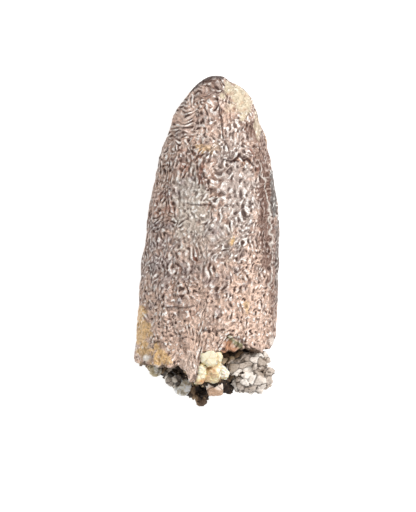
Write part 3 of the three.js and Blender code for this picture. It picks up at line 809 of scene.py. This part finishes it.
def make_tooth():
    """The whole tooth as one closed mesh: the wrinkled crown, then the broken wall and its hollow."""
    turn = np.concatenate((
        np.arange(LIP_COLUMNS) * 180 / LIP_COLUMNS,
        180 + np.arange(TONGUE_COLUMNS) * 180 / TONGUE_COLUMNS,
    ))
    columns = len(turn)
    down = (np.arange(1, CROWN_ROWS + 1) / CROWN_ROWS)[:, None] ** ROW_CROWDING
    # The edge has finer teeth here than the solid's columns can hold
    ring = np.stack((np.cos(np.radians(turn)), np.sin(np.radians(turn))), axis=-1) * HALF_WIDTH
    reach = edge_at(turn) + EDGE_JAG * waves(ring, EDGE_WAVE, 17)
    reach += CHIP_REACH * smooth(4, 1, np.abs(turn - CHIP_ANGLE))
    t = down * (1 + (reach[None, :] - 1) * down**EDGE_PULL)
    degrees = np.broadcast_to(turn, t.shape)
    skin = crown_points(t, degrees)

    worm, swell = wrinkle_fields(skin, degrees)
    marks, extra, lively = enamel_marks(skin, degrees)
    slanted = skin[..., 0] + FOLD_SLANT * skin[..., 2]
    folds = waves(np.stack((slanted, FOLD_STRETCH * skin[..., 1]), axis=-1), FOLD_WAVE, 12)
    height = WORM_DEPTH * smooth(1.0, -0.4, worm) + SWELL_DEPTH * swell + FOLD_DEPTH * folds
    height = smooth(0.0, BLANK_TIP, t) * (height * lively + extra - SKIN_TRIM)
    skin = skin + height[..., None] * grid_normals(skin)

    edge = skin[-1]
    middle = np.array((middle_x(DISH_DEPTH), 0, MID_HEIGHT))
    dish_y = TIP_Y - CROWN_LENGTH * DISH_DEPTH
    shares = np.concatenate((
        np.linspace(*RIM_SHARES, RIM_RINGS), np.linspace(*HOLLOW_SHARES, HOLLOW_RINGS)))
    bump_height, bump_width, bump_seed = DISH_BUMPS
    rings = []
    for share in shares:
        ring = edge * share + middle * (1 - share)
        fall = smooth(PULP_SHARE, 1, share) ** DISH_POWER
        floor = dish_y + (edge[:, 1] - dish_y) * fall
        floor += bump_height * (1 - share) * wavy(ring, bump_width, bump_seed)
        rough = sum(height * waves(ring, wave, seed) for height, wave, seed in BREAK_BUMPS)
        ring[:, 1] = floor + rough * smooth(1, 0.95, share)
        rings.append(ring)
    broken = np.stack(rings)

    grid = np.concatenate((skin, broken))
    grid[..., 2] = np.maximum(grid[..., 2] - REST_DEPTH, 0)
    tip = grid[0].mean(axis=0) + (0, 0.02, 0)
    bottom = grid[-1].mean(axis=0)
    points = np.concatenate((tip[None], grid.reshape(-1, 3), bottom[None]))

    rows = len(grid)
    index = 1 + np.arange(rows * columns).reshape(rows, columns)
    beside = np.roll(index, -1, axis=1)
    quads = np.stack((index[:-1], beside[:-1], beside[1:], index[1:]), axis=-1).reshape(-1, 4).tolist()
    fans = [(0, int(b), int(a)) for a, b in zip(index[0], beside[0])]
    fans += [(int(a), int(b), len(points) - 1) for a, b in zip(index[-1], beside[-1])]

    def on_all(values, at_break):
        """A value on the skin's grid, with what it is at each ring of the break, for all the points."""
        below = np.broadcast_to(np.reshape(at_break, (-1, 1)), (len(broken), columns))
        whole = np.concatenate((values, below)).ravel()
        return np.concatenate((whole[:1], whole, whole[-1:]))

    attributes = {name: on_all(values, 0) for name, values in marks.items()}
    attributes["worm"] = on_all(worm, 2)
    attributes["broken"] = on_all(np.zeros(t.shape), 1)
    attributes["hollow"] = on_all(np.zeros(t.shape), smooth(0.85, 0.5, shares))
    low, high = (np.array(corner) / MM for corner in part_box("tooth"))
    tooth = new_piece("tooth_crown", np.clip(points, low, high), quads + fans, attributes)
    tooth.data.materials.append(weathered_enamel())
    stand_for(tooth, "tooth")


# The stones in the break

JOINT_WANDER = (0.06, 0.8)  # how far the gaps between grains stray from straight, over what length, mm
JOINT_WIDTH = 0.3  # mm, from the middle of a gap to its grain's full height
MOST_TILT = 0.12  # mm that a grain's face rises or sinks by
GAP_COVER = 0.75  # how strongly the gaps' colour covers the grains'
SILT_WAVE = 0.4  # mm, of the fine unevenness of a grain's face
MOST_TRIES = 6000


def cobbles(points, middles, seed, tilt):
    """Grains packed together: for each point how far it is from the gap between two grains, mm, its
    grain's number, and its height on that grain's tilted face."""
    first = np.full(len(points), 1e9)
    second = np.full(len(points), 1e9)
    owner = np.zeros(len(points), int)
    for i, middle in enumerate(middles):
        away = np.linalg.norm(points - middle, axis=1)
        nearer = away < first
        second = np.where(nearer, first, np.minimum(second, away))
        first = np.where(nearer, away, first)
        owner[nearer] = i
    faces = np.random.default_rng(seed).normal(size=(len(middles), 3))
    faces /= np.linalg.norm(faces, axis=1, keepdims=True)
    height = tilt * np.einsum("ij,ij->i", points - middles[owner], faces[owner])
    return second - first, owner, height


def middles_in(points, spacing, seed, fixed=()):
    """Grain middles about one spacing apart, picked from the points, after some fixed ones."""
    dice = np.random.default_rng(seed)
    kept = list(fixed)
    for p in points[dice.permutation(len(points))[:MOST_TRIES]]:
        if all(np.sum((p - q) ** 2) > spacing**2 for q in kept):
            kept.append(p)
    return np.array(kept)


def make_stone(node, name, material, voxel=0.06, wear=4, spacing=0.8, gap_depth=0.1, gap_width=0.12,
               tilt=0.3, fine=0.02, seed=1, grains=(), tones=(), swells=()):
    """A stone worked up from its CAD solid, with grains one spacing apart. grains are the middles of
    some that the photograph shows: pixel x, pixel y, height in mm, tone. tones paints ovals: middle,
    half sizes, tone. swells are ovals that stand out further: middle, half sizes, mm."""
    piece = fine_copy(node, name, voxel, wear)
    mesh = piece.data
    points = read_vectors(mesh.vertices, "co") / MM
    fixed = [at_pixel(*grain[:3]) for grain in grains]
    middles = middles_in(points, spacing, seed, fixed)
    stray, stray_wave = JOINT_WANDER
    shifted = points + stray * waves(points, stray_wave, seed)[:, None]
    gap, owner, face = cobbles(shifted, middles, seed, tilt)
    tone = np.random.default_rng(seed + 1).uniform(0, 1, len(middles))
    tone[:len(grains)] = [grain[3] for grain in grains]
    tone = tone[owner]
    pixels = seen(points)
    for middle, half, value in tones:
        share = blob(pixels, middle, half, 0.15, seed)
        tone = tone + share * (value - tone)
    height = gap_depth * (smooth(0, JOINT_WIDTH, gap) - 1) + np.clip(face, -MOST_TILT, MOST_TILT)
    height += fine * waves(points, SILT_WAVE, seed + 1)
    for middle, half, rise in swells:
        height += rise * blob(pixels, middle, half, 0)
    moved = points + height[:, None] * read_vectors(mesh.vertex_normals, "vector")
    low, high = (np.array(corner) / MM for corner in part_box(node))
    moved = np.clip(moved, low, high)
    mesh.vertices.foreach_set("co", (moved * MM).astype(np.float32).ravel())
    mesh.update()
    set_values(mesh, "gap", (1 - smooth(0.02, gap_width, gap)) * GAP_COVER)
    set_values(mesh, "tone", tone)
    mesh.materials.clear()
    mesh.materials.append(material)
    stand_for(piece, node)
    return piece


# Sand: small grains strewn over a stone by Geometry Nodes

def angular_grain(name, corners, seed):
    """One broken grain about 1 across from its middle: the hull of some corners on a ball."""
    dice = np.random.default_rng(seed)
    spots = dice.normal(size=(corners, 3))
    spots *= (dice.uniform(0.75, 1, corners) / np.linalg.norm(spots, axis=1))[:, None]
    hull = bmesh.new()
    for spot in spots:
        hull.verts.new(spot)
    result = bmesh.ops.convex_hull(hull, input=hull.verts)
    inside = [item for item in result["geom_interior"] if isinstance(item, bmesh.types.BMVert)]
    bmesh.ops.delete(hull, geom=inside, context="VERTS")
    bmesh.ops.recalc_face_normals(hull, faces=hull.faces)
    mesh = bpy.data.meshes.new(name)
    hull.to_mesh(mesh)
    hull.free()
    return bpy.data.objects.new(name, mesh)


def sand_tree():
    """Geometry Nodes that strew grains over a ground mesh, each turned and sized at random."""
    tree = bpy.data.node_groups.new("strewn_sand", "GeometryNodeTree")
    sockets = [
        ("Ground", "NodeSocketObject"), ("Shapes", "NodeSocketCollection"), ("Spacing", "NodeSocketFloat"),
        ("Smallest", "NodeSocketFloat"), ("Largest", "NodeSocketFloat"), ("Sunk", "NodeSocketFloat"),
        ("Seed", "NodeSocketInt"), ("Finish", "NodeSocketMaterial"),
    ]
    for name, kind in sockets:
        tree.interface.new_socket(name, in_out="INPUT", socket_type=kind)
    tree.interface.new_socket("Sand", in_out="OUTPUT", socket_type="NodeSocketGeometry")
    given = tree.nodes.new("NodeGroupInput").outputs
    ground = add(tree, "GeometryNodeObjectInfo", {"Object": given["Ground"]}, give="Geometry")
    bare = add(tree, "GeometryNodeInputNamedAttribute", {"Name": "bare"}, data_type="FLOAT")
    spots = add(tree, "GeometryNodeDistributePointsOnFaces", {
        "Mesh": ground, "Distance Min": given["Spacing"], "Density Max": MOST_SAND, "Density Factor": bare,
        "Seed": given["Seed"]}, distribute_method="POISSON")
    out = spots.node.outputs["Normal"]
    down = add(tree, MATH, {0: given["Sunk"], 1: -1.0}, operation="MULTIPLY")
    sink = add(tree, "ShaderNodeVectorMath", {0: out, "Scale": down}, operation="SCALE")
    spots = add(tree, "GeometryNodeSetPosition", {"Geometry": spots, "Offset": sink})
    shapes = add(tree, "GeometryNodeCollectionInfo", {
        "Collection": given["Shapes"], "Separate Children": True, "Reset Children": True})
    which = add(tree, RANDOM, {4: 0, 5: 100, "Seed": 1}, give=2, data_type="INT")
    turned = add(tree, RANDOM, {
        0: (0, 0, 0), 1: (math.tau, math.tau, math.tau), "Seed": 2}, give=0, data_type="FLOAT_VECTOR")
    size = add(tree, RANDOM, {
        2: given["Smallest"], 3: given["Largest"], "Seed": 3}, give=1, data_type="FLOAT")
    tone = add(tree, RANDOM, {2: 0.0, 3: 1.0, "Seed": 4}, give=1, data_type="FLOAT")
    grains = add(tree, "GeometryNodeInstanceOnPoints", {
        "Points": spots, "Instance": shapes, "Pick Instance": True, "Instance Index": which,
        "Rotation": turned, "Scale": size})
    toned = add(tree, "GeometryNodeStoreNamedAttribute", {
        "Geometry": grains, "Name": "tone", "Value": tone}, data_type="FLOAT", domain="INSTANCE")
    whole = add(tree, "GeometryNodeRealizeInstances", {"Geometry": toned})
    finished = add(tree, "GeometryNodeSetMaterial", {"Geometry": whole, "Material": given["Finish"]})
    tree.links.new(finished, tree.nodes.new("NodeGroupOutput").inputs[0])
    return tree


def strew(name, node, tree, ground, shapes, spacing, smallest, largest, sunk, seed):
    """Sand on a stone, as one plain mesh that stays in the box of the stone's CAD node. Sizes are in
    mm, a grain's from its middle."""
    holder = link(bpy.data.objects.new(name + "_holder", bpy.data.meshes.new(name + "_holder")))
    modifier = holder.modifiers.new("sand", "NODES")
    modifier.node_group = tree
    values = {
        "Ground": ground, "Shapes": shapes, "Spacing": spacing * MM, "Smallest": smallest * MM,
        "Largest": largest * MM, "Sunk": sunk * MM, "Seed": seed, "Finish": ground.data.materials[0],
    }
    for socket in tree.interface.items_tree:
        if socket.in_out == "INPUT":
            modifier[socket.identifier] = values[socket.name]
    sand = as_mesh(holder, name)
    bpy.data.objects.remove(holder)
    points = np.clip(read_vectors(sand.data.vertices, "co"), *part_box(node))
    sand.data.vertices.foreach_set("co", points.astype(np.float32).ravel())
    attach(sand, "root")


GREY_GRAINS = [
    (232, 367, 9.0, 0.3), (237, 356, 8.8, 0.2), (246, 357, 8.8, 0.28), (256, 357, 8.6, 0.75),
    (264, 360, 8.2, 0.35), (239, 375, 8.6, 0.8), (252, 378, 8.7, 0.9), (260, 381, 8.5, 0.7),
    (240, 387, 7.6, 0.55), (262, 388, 7.4, 0.7), (250, 388, 7.6, 0.45), (233, 381, 8.0, 0.5),
    (271, 371, 7.6, 0.45), (258, 371, 8.7, 0.6), (246, 367, 8.8, 0.4),
]
SMOOTH_GRAINS = [((232, 367), (8, 8)), ((256, 357), (8, 7))]  # no sand sticks to these

# The brown tail, painted shade in the hollow above it, the pale left end, and the dark stones at the right
FILLING_TONES = [
    ((203, 401), (5, 5), 0.45), ((201, 391), (5, 7), -0.1), ((147, 363), (9, 7), 0.95),
    ((225, 388), (8, 8), 0.1),
]

# The tan middle, the yellow pillar with its orange tip, the cream blob, its shoulder, the white crystal
CREAM_TONES = [
    ((211, 371), (8, 9), 0.25), ((200, 371), (6, 11), 0.82), ((201, 382), (4, 4), 0.1),
    ((210, 356), (13, 9), 0.8), ((227, 357), (7, 6), 0.68), ((224, 371), (6, 8), 1.0),
]
CREAM_SWELLS = [((199, 372), (6, 13), 0.22), ((211, 356), (13, 9), 0.22)]

SAND_START = (-12.5, -13.5)  # y in mm between which the sand sets in, down the fossil
SAND_SHAPES = 4
MOST_SAND = 1e8  # grains to a square metre, so many that only the spacing limits them


def make_stones():
    """The seven pieces of stone, and the sand that is stuck to the two sandstones."""
    lump = make_stone(
        "grey_sandstone_lump", "grey_lump", grey_sandstone(), voxel=0.075, spacing=0.95, gap_depth=0.16,
        gap_width=0.18, tilt=0.5, fine=0.03, seed=3, grains=GREY_GRAINS)
    filling = make_stone(
        "sandstone_filling", "filling_rough", brown_sandstone(), voxel=0.09, wear=3, spacing=0.8,
        gap_depth=0.18, tilt=0.35, seed=9, tones=FILLING_TONES)
    make_stone(
        "cream_calcite_lump", "cream_lump", cream_calcite(), spacing=0.6, gap_depth=0.05, tilt=0.4,
        fine=0.04, seed=4, tones=CREAM_TONES, swells=CREAM_SWELLS)
    make_stone(
        "dark_chert_pebble", "dark_chert", dark_chert(), wear=2, spacing=0.55, gap_depth=0.08, tilt=0.6,
        seed=5)
    make_stone(
        "clear_quartz_pebble", "clear_quartz", clear_quartz(), wear=5, spacing=1.6, gap_depth=0.03,
        tilt=0.3, fine=0.01, seed=6)
    make_stone(
        "pink_feldspar_block", "pink_feldspar", pink_feldspar(), wear=2, spacing=1.1, gap_depth=0.06,
        tilt=0.2, seed=7, tones=[((217, 385), (7, 6), 0.75), ((211, 393), (9, 5), 0.32)])
    make_stone(
        "milky_quartz_grain", "milky_quartz", milky_quartz(), spacing=1.0, gap_depth=0.05, tilt=0.2,
        seed=8, tones=[((152, 371), (4, 6), 0.3), ((157, 369), (4, 5), 0.85)])

    tree = sand_tree()
    shapes = bpy.data.collections.new("grain_shapes")
    for i in range(SAND_SHAPES):
        shapes.objects.link(angular_grain("grain_shape_" + str(i), 10 + i, 100 + i))
    for piece, chance in ((lump, 0.4), (filling, 1.0)):
        points = read_vectors(piece.data.vertices, "co") / MM
        pixels = seen(points)
        too_smooth = np.max([blob(pixels, *grain, 0) for grain in SMOOTH_GRAINS], axis=0)
        set_values(piece.data, "bare", chance * smooth(*SAND_START, points[:, 1]) * (1 - too_smooth))
    strew("pale_sand", "grey_sandstone_lump", tree, lump, shapes,
          spacing=0.5, smallest=0.18, largest=0.34, sunk=0.14, seed=1)
    strew("brown_sand", "sandstone_filling", tree, filling, shapes,
          spacing=0.42, smallest=0.1, largest=0.22, sunk=0.07, seed=2)
    for shape in list(shapes.objects):
        bpy.data.objects.remove(shape)


# Floor, light and camera

FLOOR_SIZE = 600  # mm
FLOOR_GAP = 0.03  # mm that it lies below the fossil, so that the two faces don't flicker


def make_floor():
    """Smooth white card that glows a little, so that it shows white and hardly takes a shadow."""
    half = FLOOR_SIZE / 2
    corners = [(-half, -half), (half, -half), (half, half), (-half, half)]
    floor = new_piece("floor", [(x, y, -FLOOR_GAP) for x, y in corners], [(0, 1, 2, 3)])
    material, tree, _ = new_material("white_card")
    shade(tree, {"Base Color": colour("#b4b3b1"), "Roughness": 0.9,
                 "Emission Color": colour("#ffffff"), "Emission Strength": 0.8})
    floor.data.materials.append(material)


def add_light(name, place, size, power):
    """A soft square white light that faces the fossil. Its place and size are in mm, its power in W."""
    light = bpy.data.lights.new(name, "AREA")
    light.size = size * MM
    light.energy = power
    lamp = link(bpy.data.objects.new(name, light))
    lamp.location = Vector(place) * MM
    lamp.rotation_euler = (Vector((0, 0, 5 * MM)) - lamp.location).to_track_quat("-Z", "Y").to_euler()


def make_camera():
    camera = bpy.data.cameras.new("camera")
    camera.sensor_fit = "VERTICAL"
    camera.sensor_height = SENSOR_HEIGHT
    camera.lens = CAMERA_LENS
    camera.clip_start = 0.005
    eye = link(bpy.data.objects.new("camera", camera))
    eye.location = Vector((EYE_X, EYE_Y, MEASURED_HEIGHT + AWAY)) * MM
    bpy.context.scene.camera = eye


def light_world(strength):
    world = bpy.data.worlds.new("studio")
    bpy.context.scene.world = world
    world.use_nodes = True
    background = world.node_tree.nodes["Background"]
    background.inputs["Color"].default_value = colour("#ffffff")
    background.inputs["Strength"].default_value = strength


make_tooth()
make_stones()
make_floor()
add_light("key", (105, 70, 125), size=45, power=0.22)
add_light("fill", (-120, -40, 150), size=120, power=0.04)
light_world(strength=0.56)
make_camera()
bpy.context.scene.view_settings.view_transform = "Standard"
